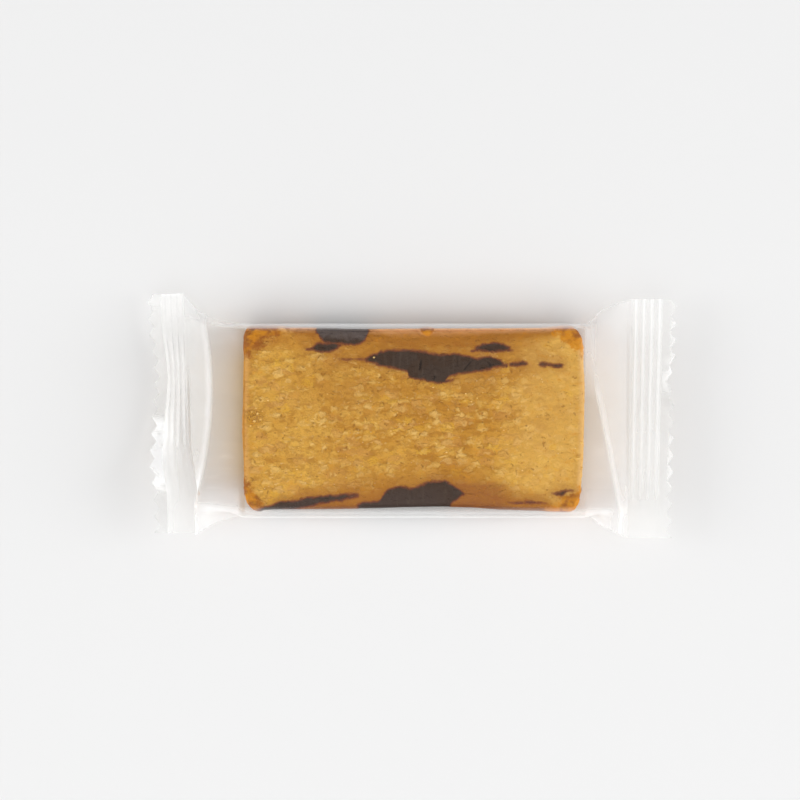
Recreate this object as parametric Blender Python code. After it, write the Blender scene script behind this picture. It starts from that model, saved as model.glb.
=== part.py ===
"""A slice of coffee biscotti sealed in a clear flow-wrap pack, as one closed solid.

The pack lies on its back: +X runs along it, +Z is up, and the origin is the bottom centre of its box.
The solid has the outer form of the filled pack: a tube of film drawn tight round the slice, the gusset
at each end, and the two crimped end seals with their zigzag cut. The film's long seam lies folded flat
against the underside. All sizes are in metres.
"""

import math

import bmesh
import bpy
from mathutils import Vector

# The slice inside, which gives the tube its size
SLICE_LENGTH = 0.0642
SLICE_CENTRE_X = 0.0004

# The tube of film round the slice
TUBE_WIDTH = 0.0367
TUBE_HEIGHT = 0.0098
TUBE_CORNER = 0.0012
TUBE_CENTRE_Y = -0.0009

# The long seam, folded flat under the tube
SEAM_WIDTH = 0.0090
SEAM_THICKNESS = 0.0003
SEAM_STEP = 0.0001

# The end seals: ridges pressed across the film, then a plain strip with a zigzag cut
SEAL_THICKNESS = 0.0004
RIDGE_PITCH = 0.00150
RIDGE_COUNT = 4
RIDGE_HEIGHT = 0.00045
PLAIN_STRIP = 0.0014
TOOTH_DEPTH = 0.0011
TOOTH_PITCH = 0.00314

# The right seal stands out level, and its cut edge curls down in one place
RIGHT_SEAL_X = 0.0414
RIGHT_SEAL_Z = 0.0052
RIGHT_SEAL_LEAN = 0.022
RIGHT_SEAL_SHIFT = -0.0005
CURL_ANGLE = math.radians(50)
CURL_CENTRE = 0.0065
CURL_REACH = 0.0050

# The left seal hangs down, most of all in its middle, and stands out level at its front end
LEFT_SEAL_X = 0.0426
LEFT_SEAL_Z = 0.0064
LEFT_SEAL_LEAN = -0.03
LEFT_SEAL_SHIFT = 0.0005
LEFT_SEAL_DRAWN_IN = 0.0015
DRAWN_IN_FROM = -0.004
DRAWN_IN_TO = -0.016
HANG_ANGLE = math.radians(37)
HANG_FROM = -0.014
HANG_TO = -0.0025
HANG_WAVE = math.radians(11)
HANG_WAVE_CENTRE = 0.0075
HANG_WAVE_REACH = 0.011
LIE_ANGLE = math.radians(6)

# Where the level top of the tube folds down towards each seal
RIGHT_FOLD_X = 0.0340
RIGHT_FOLD_LEAN = 0.197
RIGHT_FOLD_BEND_Y = 0.008
RIGHT_FOLD_BEND_ROUND = 0.002
LEFT_FOLD_X = 0.0380
LEFT_FOLD_CENTRE = 0.004
LEFT_FOLD_CURVE = 6.5
FOLD_SHARE = 0.5
FOLD_ROUND = 0.16

# How early each side of a gusset spreads out to the seal: under 1 at once, over 1 late
SPREAD = {(-1, -1): 1.7, (-1, 1): 4.0, (1, -1): 1.0, (1, 1): 0.55}
SIDE_PUFF = 0.0006

GUSSET_SHARES = (0, 0.06, 0.14, 0.24, 0.34, 0.42, 0.47, 0.5, 0.54, 0.6, 0.7, 0.8, 0.9, 1)
CORNER_STEPS = 4
SIDE_STEPS = 3

FLAT_HALF = TUBE_WIDTH / 2 - TUBE_CORNER
CORNER_ARC = math.pi / 2 * TUBE_CORNER
SIDE_HALF = TUBE_HEIGHT / 2 - TUBE_CORNER
HALF_GIRTH = FLAT_HALF + CORNER_ARC + SIDE_HALF
RIDGED = RIDGE_COUNT * RIDGE_PITCH
TUBE_TOP = SEAM_THICKNESS + TUBE_HEIGHT
SLICE_END = SLICE_LENGTH / 2


def clear_scene():
    for obj in list(bpy.data.objects):
        bpy.data.objects.remove(obj, do_unlink=True)


def mix(a, b, share):
    return a + (b - a) * share


def smooth_step(value):
    value = min(max(value, 0), 1)
    return value * value * (3 - 2 * value)


def hump(offset, reach):
    """1 at the centre, falling smoothly to 0 at this reach on either side."""
    return math.cos(math.pi / 2 * offset / reach) ** 2 if abs(offset) < reach else 0


def tube_section(along, top):
    """(y, z) on the tube's rounded rectangle, at this distance round it from the middle of its top or bottom."""
    far = abs(along)
    if far <= FLAT_HALF:
        y, z = far, TUBE_HEIGHT / 2
    elif far <= FLAT_HALF + CORNER_ARC:
        turn = (far - FLAT_HALF) / TUBE_CORNER
        y = FLAT_HALF + TUBE_CORNER * math.sin(turn)
        z = SIDE_HALF + TUBE_CORNER * math.cos(turn)
    else:
        y, z = TUBE_WIDTH / 2, HALF_GIRTH - far
    return math.copysign(y, along), (z if top else -z) + TUBE_HEIGHT / 2 + SEAM_THICKNESS


def in_seam(along, top):
    """True on the strip of the underside that the folded seam covers."""
    return not top and abs(along) < SEAM_WIDTH / 2 + SEAM_STEP / 2


def seal_line(end, y):
    """x of the seal's inner line, at this place across the pack."""
    if end > 0:
        return RIGHT_SEAL_X + RIGHT_SEAL_LEAN * y
    drawn_in = smooth_step((y - DRAWN_IN_FROM) / (DRAWN_IN_TO - DRAWN_IN_FROM))
    return -LEFT_SEAL_X + LEFT_SEAL_LEAN * y + LEFT_SEAL_DRAWN_IN * drawn_in


def fold_line(end, y):
    """x at which the tube's level top folds down, at this place across the pack."""
    if end > 0:
        before_bend = RIGHT_FOLD_BEND_Y - y
        bent = before_bend + math.hypot(before_bend, RIGHT_FOLD_BEND_ROUND)
        return RIGHT_FOLD_X + RIGHT_FOLD_LEAN * bent / 2
    return -LEFT_FOLD_X - LEFT_FOLD_CURVE * (y - LEFT_FOLD_CENTRE) ** 2


def seal_slopes(end, y):
    """How steeply the seal's ridged strip and its plain strip go down, at this place across the pack."""
    if end > 0:
        return 0, CURL_ANGLE * hump(y - CURL_CENTRE, CURL_REACH)
    hang = HANG_ANGLE * smooth_step((y - HANG_FROM) / (HANG_TO - HANG_FROM))
    return hang + HANG_WAVE * hump(y - HANG_WAVE_CENTRE, HANG_WAVE_REACH), LIE_ANGLE


def ridge_lift(out):
    """Height of the pressed ridges at this distance out from the seal's inner line."""
    if not 0 < out < RIDGED:
        return 0
    return RIDGE_HEIGHT * math.sin(math.pi * out / RIDGE_PITCH) ** 2


def seal_point(end, along, top, out):
    """A point of a seal, this far across the flattened tube and this far out from the inner line."""
    y = along + (RIGHT_SEAL_SHIFT if end > 0 else LEFT_SEAL_SHIFT)
    ridged_slope, plain_slope = seal_slopes(end, y)
    on_ridges = min(out, RIDGED)
    on_plain = max(out - RIDGED, 0)
    slope = ridged_slope if out <= RIDGED else plain_slope
    reach = on_ridges * math.cos(ridged_slope) + on_plain * math.cos(plain_slope)
    fall = on_ridges * math.sin(ridged_slope) + on_plain * math.sin(plain_slope)
    lift = ridge_lift(out)
    if abs(along) < HALF_GIRTH - SEAM_STEP:
        lift += SEAL_THICKNESS / 2 if top else -SEAL_THICKNESS / 2
    if in_seam(along, top):
        lift -= SEAM_THICKNESS
    height = RIGHT_SEAL_Z if end > 0 else LEFT_SEAL_Z
    x = seal_line(end, y) + end * (reach + lift * math.sin(slope))
    return Vector((x, y, height - fall + lift * math.cos(slope)))


def gusset_point(end, along, top, share):
    """A point between the slice's end, at share 0, and the seal's inner line, at share 1.

    The top stays level as far as its fold and then turns down, and the bottom rises all the way. The
    sides spread from the tube's upright wall into the flat edge of the seal.
    """
    side = 1 if along > 0 else -1
    rim = side * min(abs(along), FLAT_HALF)
    edge_y, edge_z = tube_section(along, top)
    near_x = SLICE_CENTRE_X + end * SLICE_END
    fold_x = fold_line(end, rim + TUBE_CENTRE_Y)
    far = seal_point(end, along, top, 0)
    if share < FOLD_SHARE:
        x = mix(near_x, fold_x, share / FOLD_SHARE)
    else:
        x = mix(fold_x, far.x, (share - FOLD_SHARE) / (1 - FOLD_SHARE))
    run = (x - near_x) / (far.x - near_x)

    past_fold = (share - FOLD_SHARE) / (1 - FOLD_SHARE)
    if abs(past_fold) < FOLD_ROUND:
        fallen = (past_fold + FOLD_ROUND) ** 2 / (4 * FOLD_ROUND)
    else:
        fallen = max(past_fold, 0)
    seal_z = seal_point(end, rim, top, 0).z
    roof = mix(TUBE_TOP, seal_z, fallen)
    bottom = mix(SEAM_THICKNESS, seal_z, run)
    if in_seam(along, top):
        bottom = mix(0, seal_z, run)

    centre = mix(TUBE_CENTRE_Y, far.y - along, run)
    if abs(along) <= FLAT_HALF:
        return Vector((x, along + centre, roof if top else bottom))

    spread = run ** SPREAD[end, side]
    middle_z = mix((roof + bottom) / 2, far.z, smooth_step(run))
    outer_y = side * mix(TUBE_WIDTH / 2, HALF_GIRTH, spread)
    down_side = (abs(along) - FLAT_HALF) / (HALF_GIRTH - FLAT_HALF)
    wedge_y = mix(side * FLAT_HALF, outer_y, down_side)
    wedge_z = mix(roof if top else bottom, middle_z, down_side)
    puff = SIDE_PUFF * math.sin(math.pi * down_side) * math.sin(math.pi * run)
    wedge_z += puff if top else -puff
    box_height = TUBE_HEIGHT / 2
    box_z = middle_z + (edge_z - box_height - SEAM_THICKNESS) / box_height * (roof - bottom) / 2
    wedged = smooth_step(2.5 * run)
    return Vector((x, mix(edge_y, wedge_y, wedged) + centre, mix(box_z, wedge_z, wedged)))


def ring_places():
    """The places round the film, as (distance from the middle, on top), the same for every section."""
    count = math.floor(4 * HALF_GIRTH / TOOTH_PITCH)
    teeth = [-HALF_GIRTH + i * TOOTH_PITCH / 2 for i in range(count + 1)]
    corner = [CORNER_ARC * i / CORNER_STEPS for i in range(CORNER_STEPS + 1)]
    sides = [CORNER_ARC + SIDE_HALF * i / SIDE_STEPS for i in range(1, SIDE_STEPS + 1)]
    edges = [side * (FLAT_HALF + place) for side in (-1, 1) for place in corner + sides]
    seam = [side * (SEAM_WIDTH / 2 + step) for side in (-1, 1) for step in (0, SEAM_STEP)]

    def merged(wanted):
        return sorted(wanted + [a for a in teeth if all(abs(a - b) > SEAM_STEP for b in wanted)])

    return [(a, True) for a in merged(edges)] + [(a, False) for a in reversed(merged(edges + seam)[1:-1])]


def tooth_cut(along):
    """How far the zigzag cut goes in at this place across the seal, from 0 at a tip to the tooth's depth."""
    phase = (along + HALF_GIRTH) / TOOTH_PITCH % 1
    return TOOTH_DEPTH * (1 - abs(2 * phase - 1))


def end_rings(end, places):
    """The sections of one end, from the slice out to the cut edge."""
    gusset = [[gusset_point(end, a, top, share) for a, top in places] for share in GUSSET_SHARES]
    outs = [RIDGE_PITCH / 2 * i for i in range(1, 2 * RIDGE_COUNT + 1)]
    seal = [[seal_point(end, a, top, out) for a, top in places] for out in outs]
    full = RIDGED + PLAIN_STRIP + TOOTH_DEPTH
    cut = [[seal_point(end, a, top, full - tooth_cut(a)) for a, top in places]]
    return gusset + seal + cut


def loft(name, rings):
    """A closed mesh through these rings of points, capped at both ends."""
    bm = bmesh.new()
    loops = []
    for ring in rings:
        verts = [bm.verts.new(point) for point in ring]
        loops.append([bm.edges.new((verts[i - 1], verts[i])) for i in range(len(verts))])
    for near, far in zip(loops, loops[1:]):
        bmesh.ops.bridge_loops(bm, edges=near + far)
    for cut_edge in (loops[0], loops[-1]):
        bmesh.ops.contextual_create(bm, geom=cut_edge)
    bmesh.ops.triangulate(bm, faces=bm.faces[:])
    bmesh.ops.recalc_face_normals(bm, faces=bm.faces[:])
    mesh = bpy.data.meshes.new(name)
    bm.to_mesh(mesh)
    bm.free()
    return mesh


def stand_on_origin(mesh):
    """Moves the mesh so that the origin is the bottom centre of its box."""
    low = Vector(min(v.co[i] for v in mesh.vertices) for i in range(3))
    high = Vector(max(v.co[i] for v in mesh.vertices) for i in range(3))
    offset = Vector(((low.x + high.x) / 2, (low.y + high.y) / 2, low.z))
    for vertex in mesh.vertices:
        vertex.co -= offset


def pack_material():
    """The look of a golden slice seen through clear film."""
    material = bpy.data.materials.new("wrapped_slice")
    material.use_nodes = True
    shader = material.node_tree.nodes["Principled BSDF"]
    shader.inputs["Base Color"].default_value = (0.56, 0.33, 0.09, 1)
    shader.inputs["Roughness"].default_value = 0.35
    shader.inputs["Metallic"].default_value = 0
    shader.inputs["Coat Weight"].default_value = 1
    return material


def make_pack(collection):
    places = ring_places()
    rings = list(reversed(end_rings(-1, places))) + end_rings(1, places)
    pack = bpy.data.objects.new("flow_pack", loft("flow_pack", rings))
    stand_on_origin(pack.data)
    pack.data.materials.append(pack_material())
    pack.data.shade_smooth()
    pack.data.set_sharp_from_angle(angle=math.radians(30))
    collection.objects.link(pack)


def main():
    clear_scene()
    collection = bpy.data.collections.new("wrapped_coffee_biscotti")
    bpy.context.scene.collection.children.link(collection)
    make_pack(collection)


main()
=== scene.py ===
"""The looks of a slice of coffee biscotti in its clear flow-wrap pack.

The pack lies on its back: +X runs along it, +Z is up, and the origin is the bottom centre of its box.
Sizes are in metres unless a comment says otherwise.
"""

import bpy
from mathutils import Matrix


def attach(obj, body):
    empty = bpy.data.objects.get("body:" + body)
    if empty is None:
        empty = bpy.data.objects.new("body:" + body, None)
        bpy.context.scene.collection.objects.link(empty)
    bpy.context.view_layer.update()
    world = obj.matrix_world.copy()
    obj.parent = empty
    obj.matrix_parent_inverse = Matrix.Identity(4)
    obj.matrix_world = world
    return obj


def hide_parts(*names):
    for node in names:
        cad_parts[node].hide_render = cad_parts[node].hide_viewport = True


bl_info = {
    "name": "Wrapped Coffee Biscotti",
    "version": (1, 0, 0),
    "blender": (4, 5, 0),
    "location": "View3D > Sidebar > Biscotti",
    "description": "Builds a baked slice with coffee swirls and seals it in a clear flow-wrap pack",
    "category": "Add Mesh",
}

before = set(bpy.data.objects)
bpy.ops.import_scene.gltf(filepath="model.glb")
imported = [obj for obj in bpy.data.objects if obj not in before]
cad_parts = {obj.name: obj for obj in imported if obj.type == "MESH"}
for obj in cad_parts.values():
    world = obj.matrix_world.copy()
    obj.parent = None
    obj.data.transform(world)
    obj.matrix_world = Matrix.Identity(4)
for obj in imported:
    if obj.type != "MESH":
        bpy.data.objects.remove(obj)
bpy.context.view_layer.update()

import math

import bmesh
import bpy
from bpy.props import FloatProperty, FloatVectorProperty, IntProperty, PointerProperty
from mathutils import Vector, noise

MM = 0.001
PACK_NODE = "flow_pack"

# The design is drawn from the middle of the tube, a hair right of the middle of the whole pack
PACK_SHIFT_X = 0.096 * MM

# The tube of film and the long seam under it
TUBE_WIDTH = 36.7 * MM
TUBE_HEIGHT = 9.8 * MM
TUBE_CORNER = 1.2 * MM
TUBE_CENTRE_Y = -0.9 * MM
SEAM_THICKNESS = 0.3 * MM
SEAM_WIDTH = 9.0 * MM
FLAT_HALF = TUBE_WIDTH / 2 - TUBE_CORNER
CORNER_ARC = math.pi / 2 * TUBE_CORNER
SIDE_HALF = TUBE_HEIGHT / 2 - TUBE_CORNER
HALF_GIRTH = FLAT_HALF + CORNER_ARC + SIDE_HALF
TUBE_TOP = SEAM_THICKNESS + TUBE_HEIGHT

# The end seals
RIDGE_PITCH = 1.5 * MM
RIDGE_COUNT = 4
RIDGED = RIDGE_COUNT * RIDGE_PITCH
PLAIN_STRIP = 1.4 * MM
TOOTH_DEPTH = 1.1 * MM
HALF_TEETH = 29
TOOTH_PITCH = 4 * HALF_GIRTH / HALF_TEETH

RIGHT_SEAL_X = 41.4 * MM
RIGHT_SEAL_Z = 5.2 * MM
RIGHT_SEAL_LEAN = 0.022
RIGHT_SEAL_SHIFT = -0.5 * MM
CURL_ANGLE = math.radians(50)
CURL_CENTRE = 6.5 * MM
CURL_REACH = 5.0 * MM

LEFT_SEAL_X = 42.6 * MM
LEFT_SEAL_Z = 6.4 * MM
LEFT_SEAL_LEAN = -0.03
LEFT_SEAL_SHIFT = 0.5 * MM
LEFT_SEAL_DRAWN_IN = 1.5 * MM
DRAWN_IN_FROM = -4 * MM
DRAWN_IN_TO = -16 * MM
HANG_ANGLE = math.radians(37)
HANG_FROM = -14 * MM
HANG_TO = -2.5 * MM
HANG_WAVE = math.radians(11)
HANG_WAVE_CENTRE = 7.5 * MM
HANG_WAVE_REACH = 11 * MM
LIE_ANGLE = math.radians(6)

# Where the level top of the tube folds down towards each seal
RIGHT_FOLD_X = 34.0 * MM
RIGHT_FOLD_LEAN = 0.197
RIGHT_FOLD_BEND_Y = 8 * MM
RIGHT_FOLD_BEND_ROUND = 2 * MM
LEFT_FOLD_X = 38.0 * MM
LEFT_FOLD_CENTRE = 4 * MM
LEFT_FOLD_CURVE = 6.5
FOLD_SHARE = 0.5
FOLD_ROUND = 0.16
SPREAD = {(-1, -1): 1.7, (-1, 1): 4.0, (1, -1): 1.0, (1, 1): 0.55}
SIDE_PUFF = 0.6 * MM

# How deep the ridges are pressed across each seal, as (y in mm, share)
PRESSED = {-1: ((-18, 0.15), (-10, 0.3), (-4, 0.6), (0, 0.9), (8, 0.9), (13, 0.6), (16.5, 0.05)),
           1: ((-19, 0.1), (-9, 1.0))}

# How milky the film is, as (y in mm, haze) across each end: in a seal between its ridges, what is added
# towards its outer side, a painted highlight on the ridges' crests where the film is also whitened, on the
# plain fringe, and a painted highlight on the right seal's teeth
SEAL_HAZE = {-1: ((-21, 1.0), (-16, 1.1), (-8, 0.9), (-4, 0.7), (2, 1.0), (10, 1.0), (16, 1.0), (21, 1.6)),
             1: ((-20, 1.6), (-14, 1.9), (-6, 2.1), (5, 1.7))}
OUTER_HAZE = {-1: ((-18, 1.5), (-13, 3.0), (-7, 4.8), (-2, 2.8), (3, 0.6), (8, 0.0)), 1: ((0, 0.0), (1, 0.0))}
# Painted highlight on each ridge's crest, with some real whitening of the film
CREST_WHITENING_AND_HIGHLIGHT = {-1: ((-20, 0.0), (-16, 0.1), (-8, 0.4), (0, 0.7), (10, 0.8), (15, 0.3), (17, 0.0)),
              1: ((-20, 0.0), (-16, 0.2), (-12, 1.0), (-4, 2.0), (20, 2.8))}
FRINGE_HAZE = {-1: ((-20, 0.6), (-4, 0.7), (0, 1.7), (8, 1.7), (13, 0.9), (20, 1.6), (22, 2.4)),
               1: ((-20, 1.4), (4, 1.0), (20, 1.2))}
# Painted highlights on the right seal's teeth
TOOTH_PAINTED_HIGHLIGHT = ((-14, 0.2), (-12, 1.8), (-5, 1.8), (-3, 0.3), (8, 0.3), (10, 1.4), (17, 1.4), (19, 0.5))

# The same on a gusset, where it is haze with a painted reflection of the side light, in the gap between the
# slice and the fold, and a painted highlight on the fold, and, as painted shade, what the dark crease at the
# seal's inner line takes away
GUSSET_HAZE_AND_REFLECTION = {-1: ((-20, 2.0), (-16, 2.0), (-13, 1.4), (-8, 1.6), (0, 2.4), (16, 2.4)),
               1: ((-20, 1.8), (-14, 1.6), (-6, 1.5), (2, 1.8), (18, 2.2))}
GAP_HAZE = {-1: ((-17, 2.2), (-13, 0.0)), 1: ((-18, 1.5), (-13, 0.2), (2, 0.0), (8, 1.3), (14, 2.5))}
FOLD_PAINTED_HIGHLIGHT = {-1: ((-18, 0.4), (-12, 2.0), (6, 2.4), (12, 1.8), (17, 1.0)),
             1: ((-16, 1.8), (-4, 1.6), (4, 1.4), (8, 0.4))}
PAINTED_CREASE_SHADE = {-1: ((-18, 0.2), (-14, 2.2), (4, 2.6), (10, 0.2)), 1: ((-16, 0.1), (-9, 1.3), (14, 1.1))}
GAP_FROM_X = 32.2 * MM
HAZE_FADE = 0.8 * MM

# A painted highlight on the left fringe, a white patch where it catches the light: its haze, and the y in mm
# where it begins and ends
FRINGE_PAINTED_HIGHLIGHT = 11
FRINGE_HIGHLIGHT_FROM, FRINGE_HIGHLIGHT_TO = -15, 0.5

# Painted highlights, as haze, where the film bends down beside the slice, as (haze, centre, reach) in shares
# of the way round
BACK_BEND_HIGHLIGHT = (6.5, 0.62, 0.72)
FRONT_BEND_HIGHLIGHT = (3.6, 0.42, 1.0)
# Painted light that whitens the front edge, and the least painted light low on the bend
FRONT_EDGE_PAINTED_LIGHT = 5.0
LOW_BEND_PAINTED_LIGHT = 1.5

# How much the film's mirror gloss is faded, as (y in mm, share) across each end, down its sides and on the
# front bend
QUIET = {-1: ((-20, 0.85), (-15, 0.85), (-12, 0.0), (13, 0.0), (17, 0.85)),
         1: ((-20, 0.85), (-8, 0.85), (-3, 0.3), (4, 0.3), (9, 0.85))}
QUIET_SIDES = 0.85
QUIET_FRONT = 0.15

# Painted shade tinted with the slice's golden bounce light, in the film past its left end: how strong it is,
# and how fast it fades
PAINTED_WARM_SHADE = 0.95
PAINTED_WARM_SHADE_REACH = 2.3 * MM

# The slice, and how finely its surface is divided along, across and up
SLICE_CENTRE = Vector((0.4 * MM, -0.5 * MM, 5.08 * MM))
SLICE_DIVISIONS = (256, 140, 34)

# How high over its middle the slice reaches under the film, and how far below that in mm it begins to flatten
HEADROOM = TUBE_TOP - 0.05 * MM - SLICE_CENTRE.z
CEILING_FADE = 0.12

# The photograph's view: straight down, from this far, with the pack a little right of and below the middle
CAMERA_PLACE = Vector((-2.3 * MM + PACK_SHIFT_X, 3.0 * MM, 600 * MM))
CAMERA_LENS = 140.7
SENSOR_WIDTH = 36.0


def size_setting(name, description, value):
    return FloatProperty(
        name=name, description=description, default=value, unit="LENGTH", subtype="DISTANCE"
    )


def share_setting(name, description, value):
    return FloatProperty(name=name, description=description, default=value, min=0, max=1, subtype="FACTOR")


def power_setting(name, description, value):
    return FloatProperty(name=name, description=description, default=value, unit="POWER")


def colour_setting(name, description, value):
    return FloatVectorProperty(name=name, description=description, subtype="COLOR", size=3, default=value)


class SliceSettings(bpy.types.PropertyGroup):
    length: size_setting("Length", "Length of the slice", 64.2 * MM)
    width: size_setting("Width", "Width of the slice at its ends", 35.2 * MM)
    thickness: size_setting("Thickness", "Thickness of the slice without its raised corners", 9.25 * MM)
    edge_round: size_setting("Edge Round", "Radius of the slice's edges", 1.2 * MM)
    corner_round: size_setting("Corner Round", "Radius of the slice's upright corners", 2.3 * MM)
    crumb_light: colour_setting("Pale Grains", "Colour of the crumb's palest grains", (0.94, 0.63, 0.205))
    crumb_mid: colour_setting("Golden Crumb", "Colour of most of the crumb", (0.795, 0.452, 0.072))
    crumb_dark: colour_setting("Amber Crumb", "Colour of the crumb between its grains", (0.57, 0.26, 0.02))
    crust: colour_setting("Crust", "Colour of the baked skin on the long sides", (0.43, 0.162, 0.012))
    corner: colour_setting("Corner", "Colour of the raised, darker baked corners", (0.66, 0.25, 0.001))
    coffee: colour_setting("Coffee Swirl", "Colour of the dark coffee dough", (0.055, 0.027, 0.013))


class FilmSettings(bpy.types.PropertyGroup):
    columns_per_half_tooth: IntProperty(
        name="Columns", description="Mesh columns across each half tooth of the cut", default=4, min=1,
        max=6,
    )
    seal_thickness: size_setting("Seal Thickness", "Thickness of the two layers welded together", 0.1 * MM)
    ridge_height: size_setting("Ridge Height", "Height of the ridges pressed into the end seals", 0.12 * MM)
    roughness: share_setting("Roughness", "Roughness of the film's gloss", 0.16)
    seal_roughness: share_setting("Seal Roughness", "Roughness of the film where it is milky", 0.5)


class StageSettings(bpy.types.PropertyGroup):
    floor_size: size_setting("Floor Size", "Side of the pale floor", 3.0)
    key_power: power_setting("Key Light", "Power of the large softbox high in front", 12.65)
    left_power: power_setting("Left Light", "Power of the low softbox at the left end", 17.5)
    right_power: power_setting("Right Light", "Power of the low softbox at the right end", 20.0)


def mix(a, b, share):
    return a + (b - a) * share


def clamp(value, low=0.0, high=1.0):
    return min(max(value, low), high)


def smooth_step(value):
    value = clamp(value)
    return value * value * (3 - 2 * value)


def hump(offset, reach):
    """1 at the centre, falling smoothly to 0 at this reach on either side."""
    return math.cos(math.pi / 2 * offset / reach) ** 2 if abs(offset) < reach else 0.0


def between(points, x):
    """Straight-line value at x of a curve through these (x, value) points, level beyond its ends."""
    if x <= points[0][0]:
        return points[0][1]
    for (x0, value0), (x1, value1) in zip(points, points[1:]):
        if x <= x1:
            return mix(value0, value1, (x - x0) / (x1 - x0))
    return points[-1][1]


def grain(point, scale, seed, stretch=1.0):
    """Smooth noise from -1 to 1 of a place in millimetres, its features longer along X by the stretch."""
    return noise.noise(Vector((point.x * scale / stretch, point.y * scale, point.z * scale + seed)))


# The shape of the film

def tube_section(along, top):
    """(y, z) on the tube's rounded rectangle, this far round it from the middle of its top or bottom."""
    far = abs(along)
    if far <= FLAT_HALF:
        y, z = far, TUBE_HEIGHT / 2
    elif far <= FLAT_HALF + CORNER_ARC:
        turn = (far - FLAT_HALF) / TUBE_CORNER
        y = FLAT_HALF + TUBE_CORNER * math.sin(turn)
        z = SIDE_HALF + TUBE_CORNER * math.cos(turn)
    else:
        y, z = TUBE_WIDTH / 2, HALF_GIRTH - far
    return math.copysign(y, along), (z if top else -z) + TUBE_HEIGHT / 2 + SEAM_THICKNESS


def seal_line(end, y):
    """x of the seal's inner line, at this place across the pack."""
    if end > 0:
        return RIGHT_SEAL_X + RIGHT_SEAL_LEAN * y
    drawn_in = smooth_step((y - DRAWN_IN_FROM) / (DRAWN_IN_TO - DRAWN_IN_FROM))
    return -LEFT_SEAL_X + LEFT_SEAL_LEAN * y + LEFT_SEAL_DRAWN_IN * drawn_in


def fold_line(end, y):
    """x at which the tube's level top folds down, at this place across the pack."""
    if end > 0:
        before_bend = RIGHT_FOLD_BEND_Y - y
        bent = before_bend + math.hypot(before_bend, RIGHT_FOLD_BEND_ROUND)
        return RIGHT_FOLD_X + RIGHT_FOLD_LEAN * bent / 2
    return -LEFT_FOLD_X - LEFT_FOLD_CURVE * (y - LEFT_FOLD_CENTRE) ** 2


def seal_slopes(end, y):
    """How steeply the seal's ridged strip and its plain strip go down, at this place across the pack."""
    if end > 0:
        return 0.0, CURL_ANGLE * hump(y - CURL_CENTRE, CURL_REACH)
    hang = HANG_ANGLE * smooth_step((y - HANG_FROM) / (HANG_TO - HANG_FROM))
    return hang + HANG_WAVE * hump(y - HANG_WAVE_CENTRE, HANG_WAVE_REACH), LIE_ANGLE


def ridge_lift(out, ridge_height):
    """Height of the pressed ridges at this distance out from the seal's inner line."""
    if not 0 < out < RIDGED:
        return 0.0
    return ridge_height * math.sin(math.pi * out / RIDGE_PITCH) ** 2


def seal_point(end, along, top, out, film, weld=False):
    """A point of a seal, this far across the flattened tube and this far out from the inner line."""
    y = along + (RIGHT_SEAL_SHIFT if end > 0 else LEFT_SEAL_SHIFT)
    ridged_slope, plain_slope = seal_slopes(end, y)
    on_ridges = min(out, RIDGED)
    on_plain = max(out - RIDGED, 0.0)
    slope = ridged_slope if out <= RIDGED else plain_slope
    reach = on_ridges * math.cos(ridged_slope) + on_plain * math.cos(plain_slope)
    fall = on_ridges * math.sin(ridged_slope) + on_plain * math.sin(plain_slope)
    lift = ridge_lift(out, film.ridge_height) * between(PRESSED[end], y / MM)
    if not weld and abs(along) < HALF_GIRTH - 0.05 * MM:
        lift += film.seal_thickness / 2 if top else -film.seal_thickness / 2
    height = RIGHT_SEAL_Z if end > 0 else LEFT_SEAL_Z
    x = seal_line(end, y) + end * (reach + lift * math.sin(slope))
    return Vector((x, y, height - fall + lift * math.cos(slope)))


def gusset_point(end, along, top, share, film, slice_end):
    """A point between the slice's end, at share 0, and the seal's inner line, at share 1.

    The top stays level as far as its fold and then turns down, and the bottom rises all the way. The
    sides spread from the tube's upright wall into the flat edge of the seal.
    """
    side = 1 if along > 0 else -1
    rim = side * min(abs(along), FLAT_HALF)
    edge_y, edge_z = tube_section(along, top)
    fold_x = fold_line(end, rim + TUBE_CENTRE_Y)
    far = seal_point(end, along, top, 0.0, film)
    past_fold = (share - FOLD_SHARE) / (1 - FOLD_SHARE)
    x = mix(slice_end, fold_x, share / FOLD_SHARE) if past_fold < 0 else mix(fold_x, far.x, past_fold)
    run = (x - slice_end) / (far.x - slice_end)

    if abs(past_fold) < FOLD_ROUND:
        fallen = (past_fold + FOLD_ROUND) ** 2 / (4 * FOLD_ROUND)
    else:
        fallen = max(past_fold, 0.0)
    seal_z = seal_point(end, rim, top, 0.0, film).z
    roof = mix(TUBE_TOP, seal_z, fallen)
    bottom = mix(SEAM_THICKNESS, seal_z, run)

    centre = mix(TUBE_CENTRE_Y, far.y - along, run)
    if abs(along) <= FLAT_HALF:
        return Vector((x, along + centre, roof if top else bottom))

    spread = run ** SPREAD[end, side]
    middle_z = mix((roof + bottom) / 2, far.z, smooth_step(run))
    outer_y = side * mix(TUBE_WIDTH / 2, HALF_GIRTH, spread)
    down_side = (abs(along) - FLAT_HALF) / (HALF_GIRTH - FLAT_HALF)
    wedge_y = mix(side * FLAT_HALF, outer_y, down_side)
    wedge_z = mix(roof if top else bottom, middle_z, down_side)
    puff = SIDE_PUFF * math.sin(math.pi * down_side) * math.sin(math.pi * run)
    wedge_z += puff if top else -puff
    box_height = TUBE_HEIGHT / 2
    box_z = middle_z + (edge_z - box_height - SEAM_THICKNESS) / box_height * (roof - bottom) / 2
    wedged = smooth_step(2.5 * run)
    return Vector((x, mix(edge_y, wedge_y, wedged) + centre, mix(box_z, wedge_z, wedged)))


def tooth_cut(along):
    """How far the zigzag cut goes in at this place across the seal, from 0 at a tip to the tooth's depth."""
    phase = (along + HALF_GIRTH) / TOOTH_PITCH % 1
    return TOOTH_DEPTH * (1 - abs(2 * phase - 1))


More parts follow.
